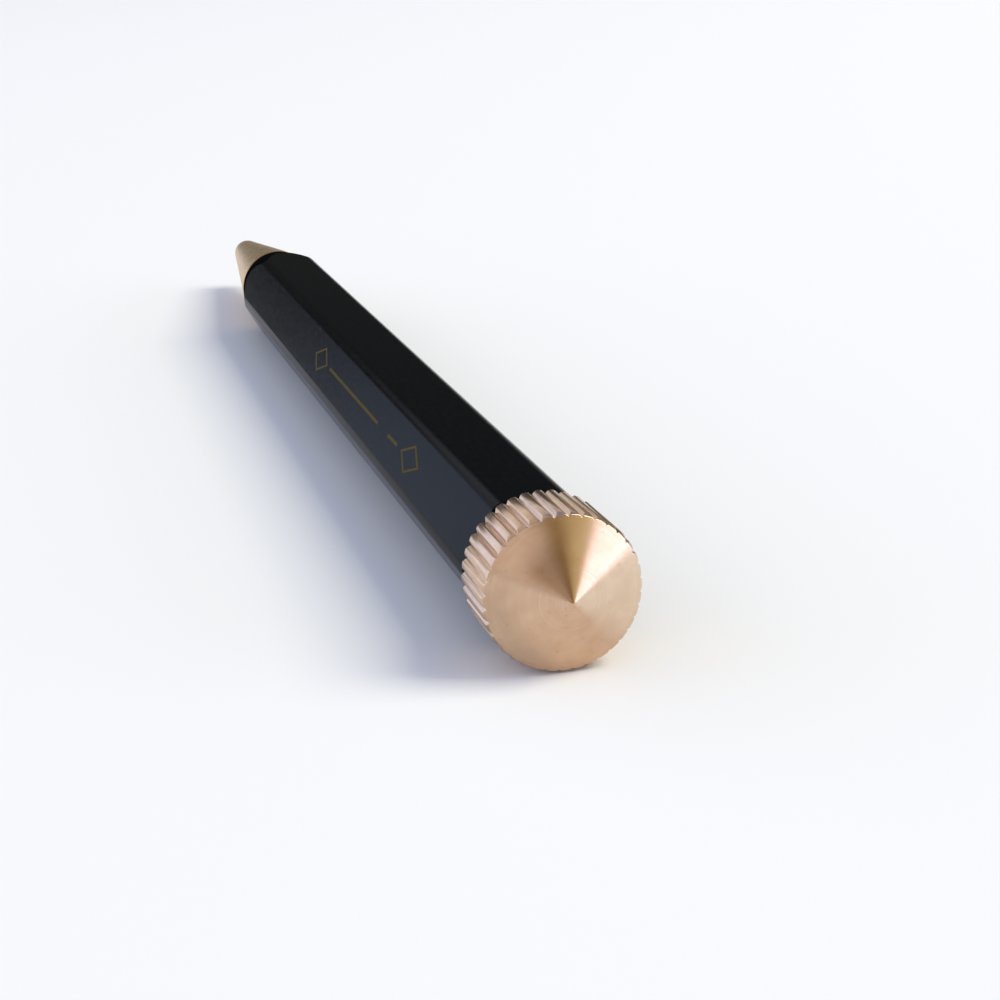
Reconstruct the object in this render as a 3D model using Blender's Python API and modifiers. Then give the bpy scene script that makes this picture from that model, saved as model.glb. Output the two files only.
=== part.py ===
# Twist ballpoint pen with a hexagonal barrel and a ribbed twist knob.
# Metres, +Z up. The pen lies along X with its writing tip towards +X, and rests on its knob at z = 0.
# Every piece is modelled round its own Z axis, which an empty lays along the world's X axis.

import math

import bmesh
import bpy

# Overall form
PEN_LENGTH = 0.1416
SEAT_GAP = 0.0003
HEX_ACROSS_FLATS = 0.0092
HEX_EDGE_RADIUS = 0.0003
BARREL_END_CHAMFER = 0.0009
TAPER_LENGTH = 0.0086

# Twist knob
KNOB_RADIUS = 0.0055
KNOB_GRIP_LENGTH = 0.0056
KNOB_CONE_HEIGHT = 0.0023
KNOB_EDGE_CHAMFER = 0.00015
RIM_INSET = 0.00016
RIM_CHAMFER_LENGTH = 0.0004
RIB_COUNT = 36
RIB_DEPTH = 0.00028
RIB_CROWN = 0.00003
NOTCH_SHARE = 0.64
KNOB_BORE_DEPTH = 0.0047
SLEEVE_WALL = 0.0005

# Nose cone
NOSE_LENGTH = 0.0250
NOSE_BASE_RADIUS = 0.0042
NOSE_TIP_RADIUS = 0.0016
NOSE_TIP_ROUND = 0.0002
NOSE_WALL_AT_SHANK = 0.0005
SHANK_LENGTH = 0.0060
CHAMBER_LENGTH = 0.0220

# Drive stem and its bearings
STEM_RADIUS = 0.0017
STEM_GROOVE_DEPTH = 0.0005
RETAINER_THICKNESS = 0.0005
RETAINER_RADIUS = 0.0026
RETAINER_MOUTH = 0.0016
BUSH_LENGTH = 0.0040
O_RING_GROOVE_WIDTH = 0.0010
O_RING_GAP = 0.0001
WASHER_THICKNESS = 0.0005

# Cam mechanism
TWIST_RANGE_DEG = 150.0
TRAVEL = 0.0040
MECHANISM_RADIUS = 0.0037
HOUSING_WALL = 0.00065
ROTOR_WALL = 0.0008
ROTOR_SHOULDER = 0.0015
ROTOR_LIP = 0.0017
PIN_RADIUS = 0.00045
PIN_SETBACK = 0.0020
PIN_END_INSET = 0.0002
FOLLOWER_REAR_GAP = 0.0010
FOLLOWER_HEAD_RADIUS = 0.0024
FOLLOWER_HEAD_LENGTH = 0.0025
FOLLOWER_REACH = 0.01205
COLLAR_LENGTH = 0.0040

# Refill: its length, 98 mm, is what the mechanism and the nose leave it
REFILL_RADIUS = 0.0029
REFILL_WALL = 0.0004
RETRACT_DEPTH = 0.0012
PASSAGE_GAP = 0.00035
PLUG_HEAD_LENGTH = 0.0027
PLUG_SPIGOT_LENGTH = 0.0032
PLUG_NOTCH_WIDTH = 0.0010
PLUG_NOTCH_DEPTH = 0.0008
CRIMP_DEPTH = 0.00012
CRIMP_WIDTH = 0.0010
CRIMP_FROM_END = 0.0020
NECK_RADIUS = 0.0012
NECK_BORE_RADIUS = 0.00075
NECK_FLANGE_LENGTH = 0.0012
NECK_CONE_LENGTH = 0.0015
NECK_SPIGOT_LENGTH = 0.0030
SPRING_SEAT_RADIUS = 0.0019
POINT_RADIUS = 0.0011
POINT_LENGTH = 0.0053
POINT_CONE_LENGTH = 0.0021
POINT_END_RADIUS = 0.00062
POINT_SPIGOT_LENGTH = 0.0020
POINT_BORE_RADIUS = 0.0013
INK_CHANNEL_RADIUS = 0.00022
BALL_RADIUS = 0.0005
BALL_GAP = 0.0001
BALL_STAND_OUT = 0.00012
INK_FILL_SHARE = 0.89

# Return spring
SPRING_WIRE_RADIUS = 0.00018
SPRING_SIDE_GAP = 0.00025
SPRING_TURNS = 13
SPRING_POINTS_PER_TURN = 9
SPRING_END_PITCH = 0.00085

# Facets
ROUND_SIDES = 48
INNER_SIDES = 28
SMALL_SIDES = 18
O_RING_SIDES = 10
BALL_STEPS = 9
SOCKET_STEPS = 7
EDGE_SEGMENTS = 3
CAM_SLOT_STEPS = 24
SLOT_END_STEPS = 6
NOSE_TIP_ARC_DEG = 60
NOSE_TIP_STEPS = 2
CAM_SLOT_RESOLUTION = 3
SPRING_WIRE_RESOLUTION = 1
SMOOTH_ANGLE_DEG = 35.0
MERGE_DISTANCE = 0.000001
OVERSHOOT = 0.0005

# Sizes that follow from those above
HEX_APOTHEM = HEX_ACROSS_FLATS / 2
HEX_CORNER = HEX_APOTHEM / math.cos(math.pi / 6)
AXIS_HEIGHT = max(KNOB_RADIUS, HEX_APOTHEM)
RIM_RADIUS = KNOB_RADIUS - RIM_INSET
TWIST_RANGE = math.radians(TWIST_RANGE_DEG)
HOUSING_BORE = MECHANISM_RADIUS - HOUSING_WALL
ROTOR_RADIUS = HOUSING_BORE - SEAT_GAP
ROTOR_BORE = ROTOR_RADIUS - ROTOR_WALL
FOLLOWER_RADIUS = ROTOR_BORE - SEAT_GAP
MECHANISM_BORE = MECHANISM_RADIUS + SEAT_GAP
STEM_BORE = STEM_RADIUS + SEAT_GAP
STEM_GROOVE_RADIUS = STEM_RADIUS - STEM_GROOVE_DEPTH
SLEEVE_RADIUS = STEM_BORE + SLEEVE_WALL
KNOB_BORE = SLEEVE_RADIUS + SEAT_GAP
SLOT_HALF_WIDTH = PIN_RADIUS + SEAT_GAP
CAM_SLOT_RADIUS = math.hypot(SLOT_HALF_WIDTH, ROTOR_WALL / 2)
CAM_REST = SLOT_HALF_WIDTH / ROTOR_BORE
PASSAGE_RADIUS = REFILL_RADIUS + PASSAGE_GAP
TUBE_BORE = REFILL_RADIUS - REFILL_WALL
SPIGOT_RADIUS = TUBE_BORE - SEAT_GAP
SOCKET_RADIUS = BALL_RADIUS + BALL_GAP
SPRING_RADIUS = NECK_RADIUS + SPRING_SIDE_GAP + SPRING_WIRE_RADIUS
CHAMBER_RADIUS = SPRING_RADIUS + SPRING_WIRE_RADIUS + SPRING_SIDE_GAP
SHANK_RADIUS = CHAMBER_RADIUS + NOSE_WALL_AT_SHANK

# Stations along the pen's axis, from the knob's apex to the writing tip
APEX_Z = -PEN_LENGTH / 2
RIM_Z = APEX_Z + KNOB_CONE_HEIGHT
KNOB_END_Z = RIM_Z + KNOB_GRIP_LENGTH
BARREL_REAR_Z = KNOB_END_Z + SEAT_GAP
RETAINER_Z = BARREL_REAR_Z + SEAT_GAP
BUSH_Z = RETAINER_Z + RETAINER_THICKNESS + SEAT_GAP
BUSH_END_Z = BUSH_Z + BUSH_LENGTH
O_RING_Z = BUSH_Z + BUSH_LENGTH / 2
WASHER_Z = BUSH_END_Z + SEAT_GAP
ROTOR_Z = WASHER_Z + WASHER_THICKNESS + SEAT_GAP
ROTOR_FLOOR_Z = ROTOR_Z + ROTOR_SHOULDER
FOLLOWER_Z = ROTOR_FLOOR_Z + FOLLOWER_REAR_GAP
PIN_Z = FOLLOWER_Z + PIN_SETBACK
ROTOR_END_Z = PIN_Z + TRAVEL + CAM_SLOT_RADIUS + ROTOR_LIP
HOUSING_END_Z = ROTOR_END_Z + SEAT_GAP
COLLAR_Z = HOUSING_END_Z + SEAT_GAP
COLLAR_END_Z = COLLAR_Z + COLLAR_LENGTH
STEM_END_Z = KNOB_END_Z - KNOB_BORE_DEPTH + SEAT_GAP

TIP_Z = PEN_LENGTH / 2
NOSE_BASE_Z = TIP_Z - NOSE_LENGTH
BARREL_FRONT_Z = NOSE_BASE_Z - SEAT_GAP
TAPER_START_Z = BARREL_FRONT_Z - TAPER_LENGTH
SHANK_Z = NOSE_BASE_Z - SHANK_LENGTH
CHAMBER_END_Z = SHANK_Z + CHAMBER_LENGTH
POINT_END_Z = TIP_Z - RETRACT_DEPTH - BALL_STAND_OUT
FOLLOWER_END_Z = COLLAR_END_Z + FOLLOWER_REACH
REFILL_REAR_Z = FOLLOWER_END_Z + SEAT_GAP
TUBE_Z = REFILL_REAR_Z + PLUG_HEAD_LENGTH + SEAT_GAP
POINT_Z = POINT_END_Z - POINT_LENGTH
NECK_END_Z = POINT_Z - SEAT_GAP
SPRING_SEAT_Z = SHANK_Z - SEAT_GAP - TRAVEL
NECK_CONE_Z = SPRING_SEAT_Z - NECK_CONE_LENGTH
NECK_FLANGE_Z = NECK_CONE_Z - NECK_FLANGE_LENGTH
TUBE_END_Z = NECK_FLANGE_Z - SEAT_GAP
BALL_Z = POINT_END_Z + BALL_STAND_OUT - BALL_RADIUS

# Empty scene, with one collection for the pen and one for what cuts it
for old in list(bpy.data.objects):
    bpy.data.objects.remove(old, do_unlink=True)
pen = bpy.data.collections.new("twist_ballpoint_pen")
cutters = bpy.data.collections.new("cutters")
bpy.context.scene.collection.children.link(pen)
bpy.context.scene.collection.children.link(cutters)


# Materials
def finish(name, colour, metallic, roughness):
    material = bpy.data.materials.new(name)
    material.use_nodes = True
    shader = material.node_tree.nodes["Principled BSDF"]
    shader.inputs["Base Color"].default_value = (*colour, 1.0)
    shader.inputs["Metallic"].default_value = metallic
    shader.inputs["Roughness"].default_value = roughness
    material.diffuse_color = (*colour, 1.0)
    return material


# Empties on the axes that pieces turn about and slide along
def axis_empty(name, parent=None):
    empty = bpy.data.objects.new(name, None)
    empty.empty_display_size = PEN_LENGTH / 8
    empty.parent = parent
    pen.objects.link(empty)
    return empty


pen_axis = axis_empty("pen_axis")
pen_axis.location = (0.0, 0.0, AXIS_HEIGHT)
pen_axis.rotation_euler = (0.0, math.pi / 2, 0.0)
twist_axis = axis_empty("twist_axis", pen_axis)
slide_axis = axis_empty("slide_axis", pen_axis)


# Modelling helpers
def place(obj, axis, material=None):
    if material is None:
        cutters.objects.link(obj)
        obj.hide_render = True
        obj.display_type = "WIRE"
    else:
        pen.objects.link(obj)
        obj.data.materials.append(material)
    obj.parent = axis
    return obj


def turned(name, outline, axis, material=None, sides=INNER_SIDES, loop=True):
    count = len(outline)
    edges = [(i, i + 1) for i in range(count - 1)]
    if loop:
        edges.append((count - 1, 0))
    mesh = bpy.data.meshes.new(name)
    mesh.from_pydata([(radius, 0.0, z) for radius, z in outline], edges, [])
    obj = place(bpy.data.objects.new(name, mesh), axis, material)
    screw = obj.modifiers.new("turn", "SCREW")
    screw.axis = "Z"
    screw.angle = 2 * math.pi
    screw.steps = sides
    screw.render_steps = sides
    screw.use_merge_vertices = True
    screw.merge_threshold = MERGE_DISTANCE
    return obj


def ring(name, outer, inner, z_low, z_high, axis, material=None, sides=INNER_SIDES):
    outline = [(outer, z_high), (outer, z_low), (inner, z_low), (inner, z_high)]
    return turned(name, outline, axis, material, sides)


def rod(name, radius, z_low, z_high, axis, material=None, sides=INNER_SIDES):
    outline = [(0.0, z_high), (radius, z_high), (radius, z_low), (0.0, z_low)]
    return turned(name, outline, axis, material, sides, loop=False)


def arc(centre_radius, centre_z, radius, start_deg, end_deg, steps):
    angles = [math.radians(start_deg + (end_deg - start_deg) * i / steps) for i in range(steps + 1)]
    return [(centre_radius + radius * math.cos(a), centre_z + radius * math.sin(a)) for a in angles]


def solid_from_curve(curve_object):
    bpy.context.view_layer.update()
    evaluated = curve_object.evaluated_get(bpy.context.evaluated_depsgraph_get())
    mesh = bpy.data.meshes.new_from_object(evaluated)
    shape = bmesh.new()
    shape.from_mesh(mesh)
    bmesh.ops.remove_doubles(shape, verts=shape.verts, dist=MERGE_DISTANCE)
    bmesh.ops.recalc_face_normals(shape, faces=shape.faces)
    shape.to_mesh(mesh)
    shape.free()
    bpy.data.objects.remove(curve_object, do_unlink=True)
    return mesh


def flat_outline(name, points, half_thickness):
    curve = bpy.data.curves.new(name, "CURVE")
    curve.dimensions = "2D"
    curve.fill_mode = "BOTH"
    curve.extrude = half_thickness
    spline = curve.splines.new("POLY")
    spline.points.add(len(points) - 1)
    for point, (x, y) in zip(spline.points, points):
        point.co = (x, y, 0.0, 1.0)
    spline.use_cyclic_u = True
    outline = bpy.data.objects.new(name, curve)
    cutters.objects.link(outline)
    return solid_from_curve(outline)


def wire_path(name, points, radius, bevel_resolution):
    curve = bpy.data.curves.new(name, "CURVE")
    curve.dimensions = "3D"
    curve.bevel_depth = radius
    curve.bevel_resolution = bevel_resolution
    curve.use_fill_caps = True
    spline = curve.splines.new("POLY")
    spline.points.add(len(points) - 1)
    for point, position in zip(spline.points, points):
        point.co = (*position, 1.0)
    wire = bpy.data.objects.new(name, curve)
    cutters.objects.link(wire)
    return solid_from_curve(wire)


def boolean(obj, other, operation="DIFFERENCE"):
    modifier = obj.modifiers.new(other.name, "BOOLEAN")
    modifier.operation = operation
    modifier.solver = "EXACT"
    modifier.object = other


def box_cutter(name, size, centre, axis, turn=0.0):
    bpy.ops.mesh.primitive_cube_add(size=1.0)
    cube = bpy.context.active_object
    mesh = cube.data
    bpy.data.objects.remove(cube, do_unlink=True)
    mesh.name = name
    for vertex in mesh.vertices:
        vertex.co = [vertex.co[i] * size[i] for i in range(3)]
    obj = place(bpy.data.objects.new(name, mesh), axis)
    obj.location = centre
    obj.rotation_euler = (0.0, 0.0, turn)
    return obj


def cross_rod(name, radius, length, z, axis, material=None):
    obj = rod(name, radius, -length / 2, length / 2, axis, material, SMALL_SIDES)
    obj.location = (0.0, 0.0, z)
    obj.rotation_euler = (math.pi / 2, 0.0, 0.0)
    return obj


# Barrel: hexagonal bar, turned to a taper in front and a chamfer behind, then bored in three steps
def make_barrel():
    black_coat = finish("black_coat", (0.012, 0.013, 0.017), 0.0, 0.42)
    bpy.ops.mesh.primitive_cylinder_add(vertices=6, radius=HEX_CORNER, depth=PEN_LENGTH)
    bar = bpy.context.active_object
    mesh = bar.data
    bpy.data.objects.remove(bar, do_unlink=True)
    barrel = place(bpy.data.objects.new("barrel", mesh), pen_axis, black_coat)
    rounding = barrel.modifiers.new("edge_round", "BEVEL")
    rounding.width = HEX_EDGE_RADIUS
    rounding.segments = EDGE_SEGMENTS
    rounding.limit_method = "ANGLE"

    turned_radius = HEX_CORNER + OVERSHOOT
    taper_slope = (HEX_CORNER - NOSE_BASE_RADIUS) / TAPER_LENGTH
    chamfer_slope = (HEX_CORNER - HEX_APOTHEM) / BARREL_END_CHAMFER
    envelope = turned("barrel_envelope", [
        (0.0, BARREL_FRONT_Z),
        (NOSE_BASE_RADIUS, BARREL_FRONT_Z),
        (turned_radius, TAPER_START_Z - OVERSHOOT / taper_slope),
        (turned_radius, BARREL_REAR_Z + (turned_radius - HEX_APOTHEM) / chamfer_slope),
        (HEX_APOTHEM, BARREL_REAR_Z),
        (0.0, BARREL_REAR_Z),
    ], pen_axis, sides=ROUND_SIDES, loop=False)
    boolean(barrel, envelope, "INTERSECT")

    thread_radius = SHANK_RADIUS + SEAT_GAP
    thread_z = SHANK_Z - SEAT_GAP
    mechanism_end_z = COLLAR_END_Z + SEAT_GAP
    bore = turned("barrel_bore", [
        (0.0, BARREL_FRONT_Z + OVERSHOOT),
        (thread_radius, BARREL_FRONT_Z + OVERSHOOT),
        (thread_radius, thread_z),
        (PASSAGE_RADIUS, thread_z),
        (PASSAGE_RADIUS, mechanism_end_z),
        (MECHANISM_BORE, mechanism_end_z),
        (MECHANISM_BORE, BARREL_REAR_Z - OVERSHOOT),
        (0.0, BARREL_REAR_Z - OVERSHOOT),
    ], pen_axis, sides=INNER_SIDES, loop=False)
    boolean(barrel, bore)


# Nose cone: a shank inside the barrel, a chamber for the spring and a bore for the point
def make_nose_cone():
    brass = finish("pale_brass", (0.60, 0.44, 0.27), 1.0, 0.34)
    turned("nose_cone", [
        (POINT_BORE_RADIUS, TIP_Z),
        *arc(NOSE_TIP_RADIUS - NOSE_TIP_ROUND, TIP_Z - NOSE_TIP_ROUND, NOSE_TIP_ROUND,
             NOSE_TIP_ARC_DEG, 0, NOSE_TIP_STEPS),
        (NOSE_BASE_RADIUS, NOSE_BASE_Z),
        (SHANK_RADIUS, NOSE_BASE_Z),
        (SHANK_RADIUS, SHANK_Z),
        (CHAMBER_RADIUS, SHANK_Z),
        (CHAMBER_RADIUS, CHAMBER_END_Z),
        (POINT_BORE_RADIUS, CHAMBER_END_Z),
    ], pen_axis, brass, ROUND_SIDES)


# Twist knob: straight ribs with V-shaped notches, faced to a shallow cone, chamfered where the
# ribs meet it, and bored for its sleeve
def rib_outline():
    pitch = 2 * math.pi / RIB_COUNT
    half_crown = pitch * (1 - NOTCH_SHARE) / 2
    points = []
    for rib in range(RIB_COUNT):
        middle = rib * pitch
        corners = [
            (middle - pitch / 2, KNOB_RADIUS - RIB_DEPTH),
            (middle - half_crown, KNOB_RADIUS - RIB_CROWN),
            (middle, KNOB_RADIUS),
            (middle + half_crown, KNOB_RADIUS - RIB_CROWN),
        ]
        points += [(radius * math.cos(a), radius * math.sin(a)) for a, radius in corners]
    return points


def make_twist_knob():
    rose_brass = finish("rose_brass", (0.62, 0.43, 0.29), 1.0, 0.30)
    half_length = (KNOB_CONE_HEIGHT + KNOB_GRIP_LENGTH) / 2 + OVERSHOOT
    ribbed_bar = flat_outline("twist_knob", rib_outline(), half_length)
    for vertex in ribbed_bar.vertices:
        vertex.co.z += (APEX_Z + KNOB_END_Z) / 2
    knob = place(bpy.data.objects.new("twist_knob", ribbed_bar), twist_axis, rose_brass)
    outside = KNOB_RADIUS + OVERSHOOT
    rim_slope = RIM_CHAMFER_LENGTH / RIM_INSET
    envelope = turned("knob_envelope", [
        (0.0, KNOB_END_Z),
        (KNOB_RADIUS - KNOB_EDGE_CHAMFER, KNOB_END_Z),
        (outside, KNOB_END_Z - KNOB_EDGE_CHAMFER - OVERSHOOT),
        (outside, RIM_Z + (outside - RIM_RADIUS) * rim_slope),
        (RIM_RADIUS, RIM_Z),
        (0.0, APEX_Z),
    ], twist_axis, sides=ROUND_SIDES, loop=False)
    boolean(knob, envelope, "INTERSECT")
    bore = rod("knob_bore", KNOB_BORE, KNOB_END_Z - KNOB_BORE_DEPTH, KNOB_END_Z + OVERSHOOT, twist_axis)
    boolean(knob, bore)


def make_knob_sleeve():
    nylon = finish("nylon_sleeve", (0.55, 0.55, 0.52), 0.0, 0.5)
    ring("knob_sleeve", SLEEVE_RADIUS, STEM_BORE, STEM_END_Z, KNOB_END_Z, twist_axis, nylon)


# Cam rotor: a grooved stem, a shoulder and a tube cut by two helical slots with a rest at each end
def slot_path(start_angle):
    radius = (ROTOR_RADIUS + ROTOR_BORE) / 2
    path = []
    for i in range(CAM_SLOT_STEPS + 1):
        twist = -CAM_REST + (TWIST_RANGE + 2 * CAM_REST) * i / CAM_SLOT_STEPS
        climb = TRAVEL * min(max(twist / TWIST_RANGE, 0.0), 1.0)
        angle = start_angle - twist
        path.append((radius * math.cos(angle), radius * math.sin(angle), PIN_Z + climb))
    return path


def make_cam_rotor():
    acetal = finish("rotor_acetal", (0.45, 0.44, 0.40), 0.0, 0.45)
    retainer_end_z = RETAINER_Z + RETAINER_THICKNESS
    grooves = []
    for z_low, z_high in (
        (O_RING_Z - O_RING_GROOVE_WIDTH / 2, O_RING_Z + O_RING_GROOVE_WIDTH / 2),
        (RETAINER_Z - SEAT_GAP / 2, retainer_end_z + SEAT_GAP / 2),
    ):
        grooves += [(STEM_RADIUS, z_high), (STEM_GROOVE_RADIUS, z_high),
                    (STEM_GROOVE_RADIUS, z_low), (STEM_RADIUS, z_low)]
    rotor = turned("cam_rotor", [
        (0.0, ROTOR_FLOOR_Z),
        (ROTOR_BORE, ROTOR_FLOOR_Z),
        (ROTOR_BORE, ROTOR_END_Z),
        (ROTOR_RADIUS, ROTOR_END_Z),
        (ROTOR_RADIUS, ROTOR_Z),
        (STEM_RADIUS, ROTOR_Z),
        *grooves,
        (STEM_RADIUS, STEM_END_Z),
        (0.0, STEM_END_Z),
    ], twist_axis, acetal, loop=False)
    for side in (1, 3):
        name = f"cam_slot_{side}"
        mesh = wire_path(name, slot_path(side * math.pi / 2), CAM_SLOT_RADIUS, CAM_SLOT_RESOLUTION)
        boolean(rotor, place(bpy.data.objects.new(name, mesh), twist_axis))


def make_stem_rings():
    spring_steel = finish("retainer_steel", (0.32, 0.32, 0.33), 1.0, 0.35)
    rubber = finish("o_ring_rubber", (0.015, 0.015, 0.015), 0.0, 0.8)
    inner = STEM_GROOVE_RADIUS + SEAT_GAP / 2
    retainer = ring("retaining_ring", RETAINER_RADIUS, inner, RETAINER_Z,
                    RETAINER_Z + RETAINER_THICKNESS, twist_axis, spring_steel)
    mouth_size = (2 * RETAINER_RADIUS, RETAINER_MOUTH, 4 * RETAINER_THICKNESS)
    mouth_centre = (RETAINER_RADIUS, 0.0, RETAINER_Z + RETAINER_THICKNESS / 2)
    boolean(retainer, box_cutter("retainer_mouth", mouth_size, mouth_centre, twist_axis))

    section = (STEM_BORE - STEM_GROOVE_RADIUS) / 2 - O_RING_GAP
    middle = (STEM_BORE + STEM_GROOVE_RADIUS) / 2
    section_circle = arc(middle, O_RING_Z, section, 360, 360 / O_RING_SIDES, O_RING_SIDES - 1)
    turned("stem_o_ring", section_circle, twist_axis, rubber)


def make_bearings():
    bush_brass = finish("bush_brass", (0.58, 0.42, 0.20), 1.0, 0.4)
    washer_steel = finish("washer_steel", (0.45, 0.45, 0.46), 1.0, 0.35)
    ring("rear_bush", ROTOR_RADIUS, STEM_BORE, BUSH_Z, BUSH_END_Z, pen_axis, bush_brass)
    ring("thrust_washer", ROTOR_RADIUS, STEM_BORE, WASHER_Z, WASHER_Z + WASHER_THICKNESS,
         pen_axis, washer_steel)


# Housing: fixed sleeve whose two straight slots keep the pin from turning
def slot_outline(half_width, z_low, z_high):
    upper = [(half_width * math.cos(a), z_high + half_width * math.sin(a))
             for a in (math.pi * i / SLOT_END_STEPS for i in range(SLOT_END_STEPS + 1))]
    lower = [(-x, z_low + z_high - z) for x, z in upper]
    return upper + lower


def make_housing():
    housing_brass = finish("housing_brass", (0.52, 0.38, 0.18), 1.0, 0.38)
    housing = ring("mechanism_housing", MECHANISM_RADIUS, HOUSING_BORE, BUSH_Z, HOUSING_END_Z,
                   pen_axis, housing_brass)
    outline = slot_outline(SLOT_HALF_WIDTH, PIN_Z, PIN_Z + TRAVEL)
    slots = flat_outline("housing_slots", outline, 2 * MECHANISM_RADIUS)
    cutter = place(bpy.data.objects.new("housing_slots", slots), pen_axis)
    cutter.rotation_euler = (math.pi / 2, 0.0, 0.0)
    boolean(housing, cutter)


def make_guide_collar():
    collar_brass = finish("collar_brass", (0.56, 0.41, 0.20), 1.0, 0.36)
    ring("guide_collar", MECHANISM_RADIUS, FOLLOWER_RADIUS + SEAT_GAP, COLLAR_Z, COLLAR_END_Z,
         pen_axis, collar_brass)


# Follower and its pin
def make_follower():
    white_acetal = finish("follower_acetal", (0.62, 0.61, 0.58), 0.0, 0.45)
    pin_steel = finish("pin_steel", (0.50, 0.50, 0.51), 1.0, 0.28)
    head_z = FOLLOWER_END_Z - FOLLOWER_HEAD_LENGTH
    follower = turned("cam_follower", [
        (0.0, FOLLOWER_END_Z),
        (FOLLOWER_HEAD_RADIUS, FOLLOWER_END_Z),
        (FOLLOWER_HEAD_RADIUS, head_z),
        (FOLLOWER_RADIUS, head_z),
        (FOLLOWER_RADIUS, FOLLOWER_Z),
        (0.0, FOLLOWER_Z),
    ], slide_axis, white_acetal, loop=False)
    pin_hole = cross_rod("pin_hole", SLOT_HALF_WIDTH, 4 * FOLLOWER_RADIUS, PIN_Z, slide_axis)
    boolean(follower, pin_hole)
    cross_rod("cam_pin", PIN_RADIUS, 2 * (MECHANISM_RADIUS - PIN_END_INSET), PIN_Z, slide_axis, pin_steel)


# Refill, from its notched plug to the ball in its point
def make_refill_plug():
    plug_plastic = finish("plug_plastic", (0.05, 0.07, 0.20), 0.0, 0.5)
    plug = turned("refill_plug", [
        (0.0, TUBE_Z + PLUG_SPIGOT_LENGTH),
        (SPIGOT_RADIUS, TUBE_Z + PLUG_SPIGOT_LENGTH),
        (SPIGOT_RADIUS, TUBE_Z - SEAT_GAP),
        (REFILL_RADIUS, TUBE_Z - SEAT_GAP),
        (REFILL_RADIUS, REFILL_REAR_Z),
        (0.0, REFILL_REAR_Z),
    ], slide_axis, plug_plastic, loop=False)
    notch_size = (3 * REFILL_RADIUS, PLUG_NOTCH_WIDTH, 2 * PLUG_NOTCH_DEPTH)
    for quarter in range(2):
        notch = box_cutter(f"plug_notch_{quarter}", notch_size, (0.0, 0.0, REFILL_REAR_Z),
                           slide_axis, quarter * math.pi / 2)
        boolean(plug, notch)


def make_refill_tube():
    tube_metal = finish("refill_metal", (0.56, 0.55, 0.52), 1.0, 0.30)
    crimps = []
    for middle in (TUBE_END_Z - CRIMP_FROM_END, TUBE_Z + CRIMP_FROM_END):
        crimps += [(REFILL_RADIUS, middle + CRIMP_WIDTH / 2),
                   (REFILL_RADIUS - CRIMP_DEPTH, middle),
                   (REFILL_RADIUS, middle - CRIMP_WIDTH / 2)]
    outline = [(REFILL_RADIUS, TUBE_END_Z), *crimps, (REFILL_RADIUS, TUBE_Z),
               (TUBE_BORE, TUBE_Z), (TUBE_BORE, TUBE_END_Z)]
    turned("refill_tube", outline, slide_axis, tube_metal)


def make_ink():
    ink = finish("ink", (0.01, 0.012, 0.06), 0.0, 0.25)
    ink_end = TUBE_END_Z - NECK_SPIGOT_LENGTH - SEAT_GAP
    room = ink_end - TUBE_Z - PLUG_SPIGOT_LENGTH
    rod("ink_column", SPIGOT_RADIUS, ink_end - INK_FILL_SHARE * room, ink_end, slide_axis, ink)


def make_refill_nose():
    neck_brass = finish("neck_brass", (0.60, 0.46, 0.24), 1.0, 0.32)
    turned("refill_nose", [
        (NECK_RADIUS, NECK_END_Z),
        (NECK_RADIUS, SPRING_SEAT_Z),
        (SPRING_SEAT_RADIUS, SPRING_SEAT_Z),
        (REFILL_RADIUS, NECK_CONE_Z),
        (REFILL_RADIUS, NECK_FLANGE_Z),
        (SPIGOT_RADIUS, NECK_FLANGE_Z),
        (SPIGOT_RADIUS, TUBE_END_Z - NECK_SPIGOT_LENGTH),
        (NECK_BORE_RADIUS, TUBE_END_Z - NECK_SPIGOT_LENGTH),
        (NECK_BORE_RADIUS, NECK_END_Z),
    ], slide_axis, neck_brass)


def make_refill_point():
    nickel_silver = finish("point_metal", (0.58, 0.55, 0.47), 1.0, 0.25)
    spigot_radius = NECK_BORE_RADIUS - SEAT_GAP
    mouth = math.degrees(math.asin((POINT_END_Z - BALL_Z) / SOCKET_RADIUS))
    throat = -math.degrees(math.acos(INK_CHANNEL_RADIUS / SOCKET_RADIUS))
    socket = arc(0.0, BALL_Z, SOCKET_RADIUS, throat, mouth, SOCKET_STEPS)
    turned("refill_point", [
        (POINT_END_RADIUS, POINT_END_Z),
        (POINT_RADIUS, POINT_END_Z - POINT_CONE_LENGTH),
        (POINT_RADIUS, POINT_Z),
        (spigot_radius, POINT_Z),
        (spigot_radius, POINT_Z - POINT_SPIGOT_LENGTH),
        (INK_CHANNEL_RADIUS, POINT_Z - POINT_SPIGOT_LENGTH),
        *socket,
    ], slide_axis, nickel_silver, SMALL_SIDES)


def make_writing_ball():
    carbide = finish("ball_carbide", (0.30, 0.30, 0.32), 1.0, 0.15)
    half_circle = arc(0.0, 0.0, BALL_RADIUS, 90, -90, BALL_STEPS)
    half_circle[0] = (0.0, BALL_RADIUS)
    half_circle[-1] = (0.0, -BALL_RADIUS)
    ball = turned("writing_ball", half_circle, slide_axis, carbide, SMALL_SIDES, loop=False)
    ball.location = (0.0, 0.0, BALL_Z)


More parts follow.
